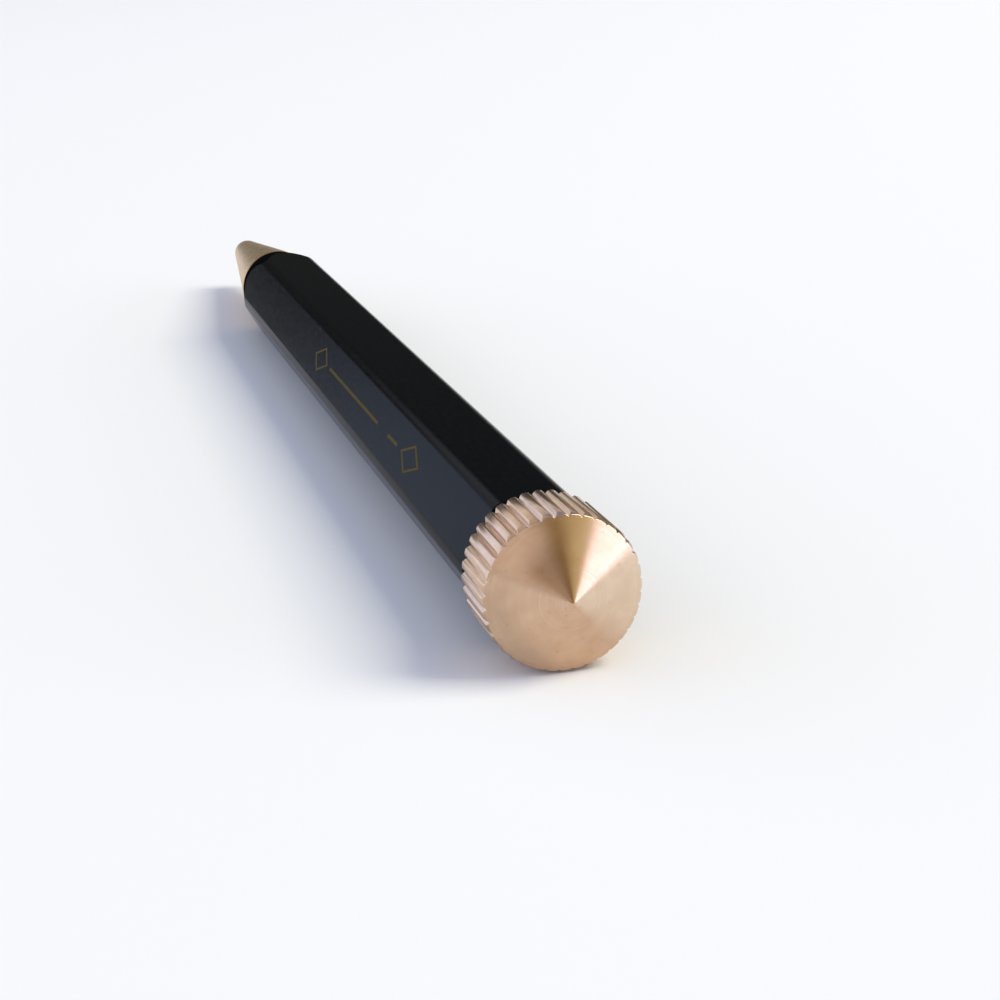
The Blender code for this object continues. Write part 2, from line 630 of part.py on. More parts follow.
# Return spring: one wire with closed end turns, wound round the refill's neck
def spring_path():
    z_low = SPRING_SEAT_Z + SEAT_GAP + SPRING_WIRE_RADIUS
    z_high = CHAMBER_END_Z - SEAT_GAP - SPRING_WIRE_RADIUS
    open_pitch = (z_high - z_low - 2 * SPRING_END_PITCH) / (SPRING_TURNS - 2)
    path = []
    for i in range(SPRING_TURNS * SPRING_POINTS_PER_TURN + 1):
        turn = i / SPRING_POINTS_PER_TURN
        closed_turns = min(turn, 1.0) + max(turn - SPRING_TURNS + 1, 0.0)
        z = z_low + SPRING_END_PITCH * closed_turns + open_pitch * (turn - closed_turns)
        angle = 2 * math.pi * turn
        path.append((SPRING_RADIUS * math.cos(angle), SPRING_RADIUS * math.sin(angle), z))
    return path


def least_gap(path):
    apart = SPRING_POINTS_PER_TURN // 2
    distances = [math.dist(path[i], path[j])
                 for i in range(len(path)) for j in range(i + apart, len(path))]
    return min(distances) - 2 * SPRING_WIRE_RADIUS


def make_return_spring():
    wire = finish("spring_wire", (0.48, 0.48, 0.49), 1.0, 0.3)
    path = spring_path()
    mesh = wire_path("return_spring", path, SPRING_WIRE_RADIUS, SPRING_WIRE_RESOLUTION)
    place(bpy.data.objects.new("return_spring", mesh), pen_axis, wire)
    print(f"return_spring least gap to itself: {least_gap(path) * 1000:.2f} mm")


make_barrel()
make_nose_cone()
make_twist_knob()
make_knob_sleeve()
make_cam_rotor()
make_stem_rings()
make_bearings()
make_housing()
make_guide_collar()
make_follower()
make_refill_plug()
make_refill_tube()
make_ink()
make_refill_nose()
make_refill_point()
make_writing_ball()
make_return_spring()

# Round pieces shaded smooth, with their true edges kept sharp
for piece in pen.objects:
    if piece.type == "MESH":
        piece.data.shade_smooth()
        piece.data.set_sharp_from_angle(angle=math.radians(SMOOTH_ANGLE_DEG))
bpy.context.view_layer.update()
print(f"pieces: {sum(piece.type == 'MESH' for piece in pen.objects)}")
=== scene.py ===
import math

import bpy
from mathutils import Matrix, Vector


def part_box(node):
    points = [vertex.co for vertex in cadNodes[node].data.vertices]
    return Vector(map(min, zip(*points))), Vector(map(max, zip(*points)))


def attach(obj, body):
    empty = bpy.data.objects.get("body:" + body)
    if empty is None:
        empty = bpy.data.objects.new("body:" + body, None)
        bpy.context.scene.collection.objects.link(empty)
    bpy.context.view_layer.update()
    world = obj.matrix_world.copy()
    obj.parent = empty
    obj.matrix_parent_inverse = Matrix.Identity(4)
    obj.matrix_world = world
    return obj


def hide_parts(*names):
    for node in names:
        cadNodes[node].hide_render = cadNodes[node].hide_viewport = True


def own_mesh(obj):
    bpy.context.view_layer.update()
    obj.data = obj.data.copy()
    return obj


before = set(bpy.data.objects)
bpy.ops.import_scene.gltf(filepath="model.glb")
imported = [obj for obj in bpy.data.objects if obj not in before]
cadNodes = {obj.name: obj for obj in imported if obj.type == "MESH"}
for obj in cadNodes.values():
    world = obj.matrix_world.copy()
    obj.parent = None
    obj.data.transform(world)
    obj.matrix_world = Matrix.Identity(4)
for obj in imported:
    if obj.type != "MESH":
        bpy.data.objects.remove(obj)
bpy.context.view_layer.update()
axisZ = sum(corner.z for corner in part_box("twist_knob")) / 2  # the pen's axis above the surface
quarterTurn = math.pi / 2
print("frame loaded:", len(cadNodes), "nodes, axis at", round(axisZ * 1000, 2), "mm")


# Modelling steps

def clearSelection():
    if bpy.context.object and bpy.context.object.mode != "OBJECT":
        bpy.ops.object.mode_set(mode="OBJECT")
    bpy.ops.object.select_all(action="DESELECT")


def hold(piece):  # the one piece that the next operators act on
    clearSelection()
    piece.select_set(True)
    bpy.context.view_layer.objects.active = piece


def settle(piece, name):  # place, turn and size go into the mesh
    piece.name = name
    piece.data.name = name
    bpy.ops.object.transform_apply(location=True, rotation=True, scale=True)
    return piece


def editAll():
    bpy.ops.object.mode_set(mode="EDIT")
    bpy.ops.mesh.select_all(action="SELECT")


def pick(piece, kind, test):  # leaves edit mode on, with what passes the test selected
    bpy.ops.object.mode_set(mode="EDIT")
    bpy.ops.mesh.select_mode(type=kind)
    bpy.ops.mesh.select_all(action="DESELECT")
    bpy.ops.object.mode_set(mode="OBJECT")
    parts = piece.data.vertices if kind == "VERT" else piece.data.edges
    for part in parts:
        part.select = test(part)
    bpy.ops.object.mode_set(mode="EDIT")


def pullRing(step, grow, pivot):  # next ring of a turned shape
    bpy.ops.mesh.extrude_edges_move(TRANSFORM_OT_translate={"value": (step, 0, 0)})
    bpy.ops.transform.resize(value=(1, grow, grow), center_override=pivot)


def outwards():
    bpy.ops.mesh.select_all(action="SELECT")
    bpy.ops.mesh.normals_make_consistent(inside=False)
    bpy.ops.object.mode_set(mode="OBJECT")


def turnPiece(name, stations, sides, ends):  # stations are (x, radius), walked along the section
    clearSelection()
    x, radius = stations[0]
    bpy.ops.mesh.primitive_circle_add(
        vertices=sides, radius=radius, location=(x, 0, axisZ), rotation=(0, quarterTurn, 0))
    piece = settle(bpy.context.object, name)
    editAll()
    for nextX, nextRadius in stations[1:]:
        pullRing(nextX - x, nextRadius / radius, (nextX, 0, axisZ))
        x, radius = nextX, nextRadius
    bpy.ops.mesh.select_all(action="DESELECT")
    bpy.ops.mesh.select_non_manifold()
    if ends == "joined":
        bpy.ops.mesh.bridge_edge_loops()  # a hollow piece: the last ring meets the first
    elif ends == "pointed":
        bpy.ops.mesh.merge(type="COLLAPSE")
    else:
        bpy.ops.mesh.fill_holes(sides=0)
    outwards()
    return piece


def cut(piece, tool, operation="DIFFERENCE"):
    hold(piece)
    step = piece.modifiers.new("cut", "BOOLEAN")
    step.operation = operation
    step.solver = "EXACT"
    step.object = tool
    bpy.ops.object.modifier_apply(modifier=step.name)
    bpy.data.objects.remove(tool, do_unlink=True)


def soften(piece, width, segments, angle):
    hold(piece)
    step = piece.modifiers.new("soften", "BEVEL")
    step.width = width
    step.segments = segments
    step.limit_method = "ANGLE"
    step.angle_limit = math.radians(angle)
    bpy.ops.object.modifier_apply(modifier=step.name)


def shadeSmooth(piece, angle):
    hold(piece)
    bpy.ops.object.shade_smooth_by_angle(angle=math.radians(angle))


def keepFlats(piece):  # broad faces shade flat, and only the narrow rounds between them turn
    hold(piece)
    step = piece.modifiers.new("flats", "WEIGHTED_NORMAL")
    step.weight = 100  # face area counts most
    step.keep_sharp = True
    bpy.ops.object.modifier_apply(modifier=step.name)


# Finishes: each is a node tree that reads Object coordinates

def newFinish(name, colour, metallic, roughness):
    finish = bpy.data.materials.new(name)
    finish.use_nodes = True
    finish.diffuse_color = (*colour, 1)
    shader = finish.node_tree.nodes["Principled BSDF"]
    shader.inputs["Base Color"].default_value = (*colour, 1)
    shader.inputs["Metallic"].default_value = metallic
    shader.inputs["Roughness"].default_value = roughness
    return finish, finish.node_tree, shader


def addNode(tree, kind, inputs, output=0, **settings):  # inputs are values or other nodes' outputs
    node = tree.nodes.new("ShaderNode" + kind)
    for setting, value in settings.items():
        setattr(node, setting, value)
    for key, value in inputs.items():
        if isinstance(value, bpy.types.NodeSocket):
            tree.links.new(value, node.inputs[key])
        else:
            node.inputs[key].default_value = value
    return node.outputs[output]


def times(tree, first, second):
    return addNode(tree, "Math", {0: first, 1: second}, operation="MULTIPLY")


def place(tree):  # position on the piece, measured from the pen's axis
    spot = tree.nodes.new("ShaderNodeTexCoord").outputs["Object"]
    return addNode(tree, "VectorMath", {0: spot, 1: (0, 0, axisZ)}, operation="SUBTRACT")


def fromAxis(tree, spot):  # place along the pen, and the way and distance out from its axis
    along = addNode(tree, "SeparateXYZ", {0: spot}, "X")
    across = addNode(tree, "VectorMath", {0: spot, 1: (0, 1, 1)}, operation="MULTIPLY")
    radius = addNode(tree, "VectorMath", {0: across}, "Value", operation="LENGTH")
    return along, across, radius


def reach(tree, spot, way):  # how far a spot lies along a direction
    return addNode(tree, "VectorMath", {0: spot, 1: way}, "Value", operation="DOT_PRODUCT")


def grain(tree, spot, scale, stretch=(1, 1, 1), detail=2.0):
    stretched = addNode(tree, "VectorMath", {0: spot, 1: stretch}, operation="MULTIPLY")
    return addNode(tree, "TexNoise", {"Vector": stretched, "Scale": scale, "Detail": detail}, "Fac")


def latheLines(tree, spot, scale, detail):  # rings round the axis, as a turning tool leaves them
    along, _, radius = fromAxis(tree, spot)
    line = addNode(tree, "CombineXYZ", {"X": along, "Y": radius})
    return addNode(tree, "TexNoise", {"Vector": line, "Scale": scale, "Detail": detail}, "Fac")


def spread(tree, value, low, high, first=0.0, last=1.0):
    return addNode(tree, "MapRange", {
        "Value": value, "From Min": low, "From Max": high, "To Min": first, "To Max": last})


def tint(tree, share, first, last):
    mix = tree.nodes.new("ShaderNodeMix")
    mix.data_type = "RGBA"
    for key, value in ((0, share), (6, first), (7, last)):  # factor and the two colours
        if isinstance(value, bpy.types.NodeSocket):
            tree.links.new(value, mix.inputs[key])
        else:
            mix.inputs[key].default_value = (*value, 1) if key else value
    return mix.outputs[2]


def within(tree, value, limit, soft):  # 1 where value is below limit
    return spread(tree, value, limit + soft, limit - soft)


def awayFrom(tree, value, middle):
    offset = addNode(tree, "Math", {0: value, 1: middle}, operation="SUBTRACT")
    return addNode(tree, "Math", {0: offset}, operation="ABSOLUTE")


def bumpBy(tree, shader, height, distance):
    bump = addNode(tree, "Bump", {"Height": height, "Distance": distance}, "Normal")
    tree.links.new(bump, shader.inputs["Normal"])


def roundTangent(tree, spot, shader):  # the grain of a turned surface runs round the pen's axis
    turn = addNode(tree, "VectorMath", {0: (1, 0, 0), 1: spot}, operation="CROSS_PRODUCT")
    unit = addNode(tree, "VectorMath", {0: turn}, operation="NORMALIZE")
    world = addNode(tree, "VectorTransform", {0: unit}, vector_type="VECTOR",
                    convert_from="OBJECT", convert_to="WORLD")
    tree.links.new(world, shader.inputs["Tangent"])


# Turned metals

turnedGrain = dict(
    lineDetail=3.0, cloudDetail=5.0, speckDetail=1.0, cloudSpan=(0.3, 0.7), lineSpan=(0.35, 0.75),
    speckSpan=(0.68, 0.78), roughSpan=(0.3, 0.7), pullTurn=0.25)


def onSide(tree, spot, patch):  # painted reflection on one side of the knob's end, clear of the ribs: a patch of the brass colour lightened or darkened to stand in for what the cone reflects there
    along, across, radius = fromAxis(tree, spot)
    outward = addNode(tree, "VectorMath", {0: across}, operation="NORMALIZE")
    facing = reach(tree, outward, patch["side"])
    sector = times(tree, spread(tree, facing, *patch["facing"]), spread(tree, radius, *patch["radii"]))
    return times(tree, sector, spread(tree, along, *patch["endX"]))


def turnedBrass(name, look):
    finish, tree, shader = newFinish(name, look["colour"], 1.0, look["roughness"])
    spot = place(tree)
    lines = latheLines(tree, spot, look["lineScale"], turnedGrain["lineDetail"])
    clouds = grain(tree, spot, look["cloudScale"], detail=turnedGrain["cloudDetail"])
    specks = grain(tree, spot, look["speckScale"], detail=turnedGrain["speckDetail"])
    cloudShare = spread(tree, clouds, *turnedGrain["cloudSpan"])
    lineShare = spread(tree, lines, *turnedGrain["lineSpan"], 0, look["lineShade"])
    speckShare = spread(tree, specks, *turnedGrain["speckSpan"], 0, look["speckShade"])
    wearAndPaintedReflection = tint(tree, cloudShare, look["colour"], look["warmColour"])
    wearAndPaintedReflection = tint(tree, lineShare, wearAndPaintedReflection, look["lineColour"])
    wearAndPaintedReflection = tint(tree, speckShare, wearAndPaintedReflection, look["lineColour"])
    # painted reflections: each patch scales the brass colour on one side of the cone, standing in for the
    # room it reflects
    for patch in look.get("paintedReflections", ()):
        change = tint(tree, onSide(tree, spot, patch), (1, 1, 1), patch["times"])
        wearAndPaintedReflection = addNode(tree, "VectorMath", {0: wearAndPaintedReflection, 1: change}, operation="MULTIPLY")
    tree.links.new(wearAndPaintedReflection, shader.inputs["Base Color"])
    low, high = look["roughness"] - look["vary"], look["roughness"] + look["vary"]
    rough = spread(tree, lines, *turnedGrain["roughSpan"], low, high)
    tree.links.new(rough, shader.inputs["Roughness"])
    bumpBy(tree, shader, lines, look["lineDepth"])
    shader.inputs["Anisotropic"].default_value = look["pull"]
    shader.inputs["Anisotropic Rotation"].default_value = turnedGrain["pullTurn"]
    roundTangent(tree, spot, shader)
    return finish


knobEnd = (-0.0683, -0.0685)  # the painted reflections fade out between these, where the cone meets the ribs
roseBrass = turnedBrass("rose_brass_turned", dict(
    colour=(0.67, 0.46, 0.32), warmColour=(0.61, 0.405, 0.27), lineColour=(0.47, 0.30, 0.18),
    lineShade=0.22, roughness=0.20, vary=0.03, lineScale=9000, lineDepth=0.0000006, cloudScale=900,
    speckScale=3200, speckShade=0.5, pull=0.35, paintedReflections=(
        # painted reflections: the first patch makes one side of the cone paler, and the other two make two
        # other sides darker
        dict(side=(0, -0.996, -0.087), facing=(0.68, 0.95), radii=(0.0, 0.0002), endX=knobEnd,
             times=(1.20, 1.36, 1.47)),
        dict(side=(0, 0.883, -0.469), facing=(0.58, 0.97), radii=(0.0028, 0.0045), endX=knobEnd,
             times=(0.79, 0.80, 0.80)),
        dict(side=(0, 0.530, 0.848), facing=(0.84, 0.98), radii=(0.0044, 0.0029), endX=knobEnd,
             times=(0.60, 0.54, 0.48)))))
paleBrass = turnedBrass("pale_brass_turned", dict(
    colour=(0.58, 0.35, 0.11), warmColour=(0.54, 0.32, 0.095), lineColour=(0.42, 0.24, 0.07),
    lineShade=0.25, roughness=0.27, vary=0.04, lineScale=7000, lineDepth=0.000001, cloudScale=600,
    speckScale=3000, speckShade=0.4, pull=0.4))
mechanismBrass = turnedBrass("mechanism_brass_turned", dict(
    colour=(0.62, 0.45, 0.20), warmColour=(0.56, 0.38, 0.16), lineColour=(0.42, 0.29, 0.11),
    lineShade=0.4, roughness=0.33, vary=0.06, lineScale=3600, lineDepth=0.000003, cloudScale=700,
    speckScale=3000, speckShade=0.4, pull=0.3))
nickelSilver = turnedBrass("nickel_silver_turned", dict(
    colour=(0.63, 0.60, 0.53), warmColour=(0.58, 0.54, 0.46), lineColour=(0.45, 0.42, 0.36),
    lineShade=0.4, roughness=0.24, vary=0.05, lineScale=9000, lineDepth=0.0000012, cloudScale=2200,
    speckScale=6000, speckShade=0.3, pull=0.4))


# Plastics and drawn steels of what is inside

plasticGrain = dict(
    flowScale=420, flowStretch=(0.3, 1, 1), flowDetail=3.0, skinScale=5200, span=(0.3, 0.7), vary=0.06,
    depth=0.0000025)
steelGrain = dict(
    scale=6400, detail=3.0, shadeSpan=(0.35, 0.7), roughSpan=(0.3, 0.7), smoother=0.05, rougher=0.07,
    depth=0.0000012)
drawnAlong, evenGrain = (0.04, 1, 1), (1, 1, 1)


def insidePlastic(name, colour, shade, roughness, sheen=0.0):
    finish, tree, shader = newFinish(name, colour, 0.0, roughness)
    spot = place(tree)
    look = plasticGrain
    flow = grain(tree, spot, look["flowScale"], look["flowStretch"], detail=look["flowDetail"])
    skin = grain(tree, spot, look["skinScale"])
    tree.links.new(tint(tree, spread(tree, flow, *look["span"]), colour, shade), shader.inputs["Base Color"])
    rough = spread(tree, skin, *look["span"], roughness - look["vary"], roughness + look["vary"])
    tree.links.new(rough, shader.inputs["Roughness"])
    bumpBy(tree, shader, skin, look["depth"])
    shader.inputs["Sheen Weight"].default_value = sheen
    return finish


def drawnSteel(name, colour, shade, roughness, stretch):
    finish, tree, shader = newFinish(name, colour, 1.0, roughness)
    spot = place(tree)
    look = steelGrain
    streaks = grain(tree, spot, look["scale"], stretch, detail=look["detail"])
    shaded = tint(tree, spread(tree, streaks, *look["shadeSpan"]), colour, shade)
    tree.links.new(shaded, shader.inputs["Base Color"])
    low, high = roughness - look["smoother"], roughness + look["rougher"]
    tree.links.new(spread(tree, streaks, *look["roughSpan"], low, high), shader.inputs["Roughness"])
    bumpBy(tree, shader, streaks, look["depth"])
    return finish


whiteAcetal = insidePlastic("white_acetal", (0.62, 0.61, 0.57), (0.55, 0.54, 0.49), 0.45)
bluePlug = insidePlastic("blue_plug", (0.04, 0.06, 0.19), (0.03, 0.045, 0.14), 0.42)
blackRubber = insidePlastic("black_rubber", (0.014, 0.014, 0.014), (0.022, 0.022, 0.022), 0.75, 0.1)
inkFilm = insidePlastic("ink_film", (0.008, 0.010, 0.055), (0.012, 0.016, 0.08), 0.18)
refillSteel = drawnSteel("refill_steel", (0.60, 0.59, 0.56), (0.50, 0.49, 0.46), 0.28, drawnAlong)
clipSteel = drawnSteel("clip_steel", (0.42, 0.42, 0.43), (0.33, 0.33, 0.35), 0.34, evenGrain)
springSteel = drawnSteel("spring_steel", (0.52, 0.52, 0.53), (0.43, 0.43, 0.45), 0.26, evenGrain)
carbide = drawnSteel("ball_carbide", (0.33, 0.33, 0.35), (0.27, 0.27, 0.30), 0.16, evenGrain)


# Twist knob: ribbed grip and shallow turned cone, chamfered where the two meet

knobShape = dict(
    apexX=-0.0708, coneHeight=0.0023, endX=-0.0629, radius=0.0055, rimRadius=0.00534, rimSlope=2.5,
    endChamfer=0.00015, ribs=36, pointsPerRib=12, phaseGap=0.02, crownDrop=0.00003, notchDepth=0.00028,
    crownShare=1 / 4, coneRings=(0.985, 0.93, 0.80, 0.62, 0.44, 0.27, 0.12, 0.04, 0.005), lift=0.002,
    weld=0.00002, boreRadius=0.0028, boreDepth=0.0047, boreSides=96, spare=0.001, edge=0.00002,
    edgeSegments=2, edgeAngle=32, smoothAngle=28, turnSteps=1000)


def ribTurn(spot):
    return math.atan2(spot.z - axisZ, spot.y)


def ribPhase(spot):  # 0 on a rib's crown, 0.5 in a notch
    turn = ribTurn(spot) / (2 * math.pi) * knobShape["ribs"]
    return abs(turn - round(turn))


def ribRadius(phase):
    share = knobShape["crownShare"]
    crown = knobShape["radius"] - knobShape["crownDrop"] * min(phase / share, 1) ** 2
    deep = max(phase - share, 0) / (0.5 - share)
    return crown - (knobShape["notchDepth"] - knobShape["crownDrop"]) * deep


def makeKnob():
    shape = knobShape
    apex = (shape["apexX"], 0, axisZ)
    rimX = shape["apexX"] + shape["coneHeight"]
    phases = [step / shape["pointsPerRib"] for step in range(shape["pointsPerRib"] // 2 + 1)]
    clearSelection()
    bpy.ops.mesh.primitive_circle_add(
        vertices=shape["ribs"] * shape["pointsPerRib"], radius=shape["rimRadius"],
        location=(rimX, 0, axisZ), rotation=(0, quarterTurn, 0))
    knob = settle(bpy.context.object, "knob_shell")
    for phase in phases:  # pull the notches in along the cone
        pick(knob, "VERT", lambda v: abs(ribPhase(v.co) - phase) < shape["phaseGap"])
        grow = min(ribRadius(phase) / shape["rimRadius"], 1)
        bpy.ops.transform.resize(value=(grow, grow, grow), center_override=apex)
    bpy.ops.mesh.select_all(action="SELECT")
    bpy.ops.mesh.extrude_edges_move(TRANSFORM_OT_translate={"value": (shape["lift"], 0, 0)})
    liftedX = rimX + shape["lift"] / 2
    for phase in phases:  # chamfer up to the crowns
        pick(knob, "VERT", lambda v: v.co.x > liftedX and abs(ribPhase(v.co) - phase) < shape["phaseGap"])
        rise = max(ribRadius(phase) - shape["rimRadius"], 0)
        bpy.ops.transform.translate(value=(rise * shape["rimSlope"] - shape["lift"], 0, 0))
        grow = 1 + rise / shape["rimRadius"]
        bpy.ops.transform.resize(value=(1, grow, grow), center_override=(rimX, 0, axisZ))
    bpy.ops.mesh.select_all(action="SELECT")
    bpy.ops.mesh.remove_doubles(threshold=shape["weld"])
    bpy.ops.object.mode_set(mode="OBJECT")
    faceRim = {}  # the outermost ring so far, one vertex for each step round the knob
    for vertex in knob.data.vertices:
        key = round(ribTurn(vertex.co) * shape["turnSteps"])
        if key not in faceRim or vertex.co.x > knob.data.vertices[faceRim[key]].co.x:
            faceRim[key] = vertex.index
    outer = set(faceRim.values())
    pick(knob, "EDGE", lambda e: e.vertices[0] in outer and e.vertices[1] in outer)
    chamferX = shape["endX"] - shape["endChamfer"]
    bpy.ops.mesh.extrude_edges_move(TRANSFORM_OT_translate={"value": (chamferX - rimX, 0, 0)})
    bpy.ops.transform.resize(value=(0, 1, 1), center_override=(chamferX, 0, axisZ))
    shrink = 1 - shape["endChamfer"] / shape["radius"]
    pullRing(shape["endChamfer"], shrink, (shape["endX"], 0, axisZ))
    bpy.ops.mesh.edge_face_add()
    bpy.ops.object.mode_set(mode="OBJECT")
    onCone = {v.index for v in knob.data.vertices if v.co.x < rimX + 2 * shape["weld"]}
    pick(knob, "EDGE", lambda e: e.vertices[0] in onCone and e.vertices[1] in onCone)
    last = 1.0
    for ring in shape["coneRings"]:
        bpy.ops.mesh.extrude_edges_move()
        grow = ring / last
        bpy.ops.transform.resize(value=(grow, grow, grow), center_override=apex)
        last = ring
    bpy.ops.mesh.merge(type="COLLAPSE")
    outwards()
    boreStart, boreEnd = shape["endX"] - shape["boreDepth"], shape["endX"] + shape["spare"]
    cut(knob, turnPiece("knob_bore", [
        (boreStart, shape["boreRadius"]), (boreEnd, shape["boreRadius"])], shape["boreSides"], "filled"))
    soften(knob, shape["edge"], shape["edgeSegments"], shape["edgeAngle"])
    shadeSmooth(knob, shape["smoothAngle"])
    keepFlats(knob)
    knob.data.materials.append(roseBrass)
    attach(knob, "knob_body")
    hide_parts("twist_knob")
    print("knob:", len(knob.data.polygons), "faces")


makeKnob()


# Barrel: hexagonal bar, turned down at both ends and bored

barrelShape = dict(
    rearX=-0.0626, frontX=0.0455, apothem=0.0046, edgeRound=0.0006, edgeSegments=12, barLength=0.15,
    taperLength=0.0086, frontRadius=0.0042, rearChamfer=0.0009, sides=192, spare=0.0006, weld=0.000002,
    boreSides=96, smoothAngle=7,
    boreSteps=((0.0475, 0.00286), (0.0395, 0.00286), (0.0395, 0.00325), (-0.04045, 0.00325),
               (-0.04045, 0.0040), (-0.0646, 0.0040)))
hexCorner = barrelShape["apothem"] / math.cos(math.pi / 6)
taperSlope = (hexCorner - barrelShape["frontRadius"]) / barrelShape["taperLength"]


# Its black coat, with a fine grain and a gold rule printed on one flat

coatLook = dict(
    colour=(0.0034, 0.0038, 0.0043), paleColour=(0.0052, 0.0056, 0.0063), roughness=0.13, vary=0.02,
    specular=0.0155, taperSpecular=0.0, taperSkin=0.00002, grainScale=9000, grainDepth=0.00000005,
    dustScale=2600, dustStretch=(0.35, 1, 1), dustDetail=4.0, paleSpan=(0.45, 0.8), roughSpan=(0.3, 0.7))
goldRule = dict(
    colour=(0.115, 0.086, 0.031), roughness=0.5, specular=0.0, flatNormal=(0, 0.8660254, 0.5),
    flatAcross=(0, -0.5, 0.8660254), inset=0.00004, lines=((-0.0366, -0.0332), (-0.0292, -0.0080)),
    lineHalf=0.00012, lozengeX=(-0.0410, -0.0038), lozengeLong=0.0030, lozengeWide=0.0012,
    lozengeLine=0.00022, soft=0.00003)


def goldMask(tree, spot):
    look = goldRule
    soft = look["soft"]
    along = addNode(tree, "SeparateXYZ", {0: spot}, "X")
    side = addNode(tree, "Math", {0: reach(tree, spot, look["flatAcross"])}, operation="ABSOLUTE")
    inWidth = within(tree, side, look["lineHalf"], soft)
    shown = 0.0
    for start, end in look["lines"]:
        away = awayFrom(tree, along, (start + end) / 2)
        rule = times(tree, within(tree, away, (end - start) / 2, soft), inWidth)
        shown = addNode(tree, "Math", {0: shown, 1: rule}, operation="MAXIMUM")
    middle = look["lozengeWide"] - look["lozengeLine"] / 2
    slope = look["lozengeWide"] / look["lozengeLong"]
    for centre in look["lozengeX"]:
        edge = addNode(tree, "Math", {
            0: awayFrom(tree, along, centre), 1: slope, 2: side}, operation="MULTIPLY_ADD")
        outline = within(tree, awayFrom(tree, edge, middle), look["lozengeLine"] / 2, soft)
        shown = addNode(tree, "Math", {0: shown, 1: outline}, operation="MAXIMUM")
    depth = barrelShape["apothem"] - look["inset"]
    onFlat = spread(tree, reach(tree, spot, look["flatNormal"]), depth - look["inset"] / 2, depth)
    return times(tree, shown, onFlat)


def offTaper(tree, spot):  # distance from the turned taper at the front, which is left duller
    along, _, radius = fromAxis(tree, spot)
    level = addNode(tree, "Math", {
        0: along, 1: -taperSlope, 2: barrelShape["frontRadius"] + taperSlope * barrelShape["frontX"],
    }, operation="MULTIPLY_ADD")
    return awayFrom(tree, radius, level)


def blackCoat():
    look = coatLook
    finish, tree, shader = newFinish("black_coat_satin", look["colour"], 0.0, look["roughness"])
    spot = place(tree)
    fine = grain(tree, spot, look["grainScale"])
    dust = grain(tree, spot, look["dustScale"], look["dustStretch"], detail=look["dustDetail"])
    coat = tint(tree, spread(tree, dust, *look["paleSpan"]), look["colour"], look["paleColour"])
    gold = goldMask(tree, spot)
    tree.links.new(tint(tree, gold, coat, goldRule["colour"]), shader.inputs["Base Color"])
    low, high = look["roughness"] - look["vary"], look["roughness"] + look["vary"]
    rough = spread(tree, dust, *look["roughSpan"], low, high)
    rough = addNode(tree, "Mix", {0: gold, 2: rough, 3: goldRule["roughness"]})
    tree.links.new(rough, shader.inputs["Roughness"])
    taper = within(tree, offTaper(tree, spot), look["taperSkin"], look["taperSkin"] / 2)
    shine = spread(tree, taper, 0, 1, look["specular"], look["taperSpecular"])
    shine = addNode(tree, "Mix", {0: gold, 2: shine, 3: goldRule["specular"]})  # the print is matt
    tree.links.new(shine, shader.inputs["Specular IOR Level"])
    bumpBy(tree, shader, fine, look["grainDepth"])
    return finish


blackSatin = blackCoat()
print("finishes made:", len(bpy.data.materials))


def makeBarrel():
    shape = barrelShape
    clearSelection()
    bpy.ops.mesh.primitive_cylinder_add(
        vertices=6, radius=hexCorner, depth=shape["barLength"], location=(0, 0, axisZ),
        rotation=(0, quarterTurn, 0))
    barrel = settle(bpy.context.object, "barrel_shell")
    spots = [vertex.co.x for vertex in barrel.data.vertices]
    pick(barrel, "EDGE", lambda e: spots[e.vertices[0]] * spots[e.vertices[1]] < 0)  # the six long edges
    bpy.ops.mesh.bevel(offset=shape["edgeRound"], segments=shape["edgeSegments"], affect="EDGES")
    bpy.ops.object.mode_set(mode="OBJECT")
    wide = hexCorner + shape["spare"]
    chamfer = (hexCorner - shape["apothem"]) / shape["rearChamfer"]
    envelope = turnPiece("barrel_envelope", [
        (shape["rearX"], shape["apothem"]),
        (shape["rearX"] + (wide - shape["apothem"]) / chamfer, wide),
        (shape["frontX"] - (wide - shape["frontRadius"]) / taperSlope, wide),
        (shape["frontX"], shape["frontRadius"])], shape["sides"], "filled")
    cut(barrel, envelope, "INTERSECT")
    cut(barrel, turnPiece("barrel_bore", shape["boreSteps"], shape["boreSides"], "filled"))
    editAll()  # slivers that the cuts leave on the six edges
    bpy.ops.mesh.remove_doubles(threshold=shape["weld"])
    bpy.ops.mesh.dissolve_degenerate(threshold=shape["weld"])
    outwards()
    shadeSmooth(barrel, shape["smoothAngle"])
    keepFlats(barrel)
    barrel.data.materials.append(blackSatin)
    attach(barrel, "barrel_body")
    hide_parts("barrel")
    print("barrel:", len(barrel.data.polygons), "faces")


makeBarrel()


# Nose cone, with its shank and the spring's chamber

noseShape = dict(
    tipX=0.0708, baseX=0.0458, shankX=0.0398, chamberX=0.0618, tipRadius=0.0016, tipRound=0.0002,
    tipArc=(0, 15, 30, 45, 60, 75), baseRadius=0.0042, baseRound=0.00005, shankRadius=0.00256,
    chamberRadius=0.00206, pointBore=0.0013, boreRound=0.00003, sides=128, smoothAngle=30)


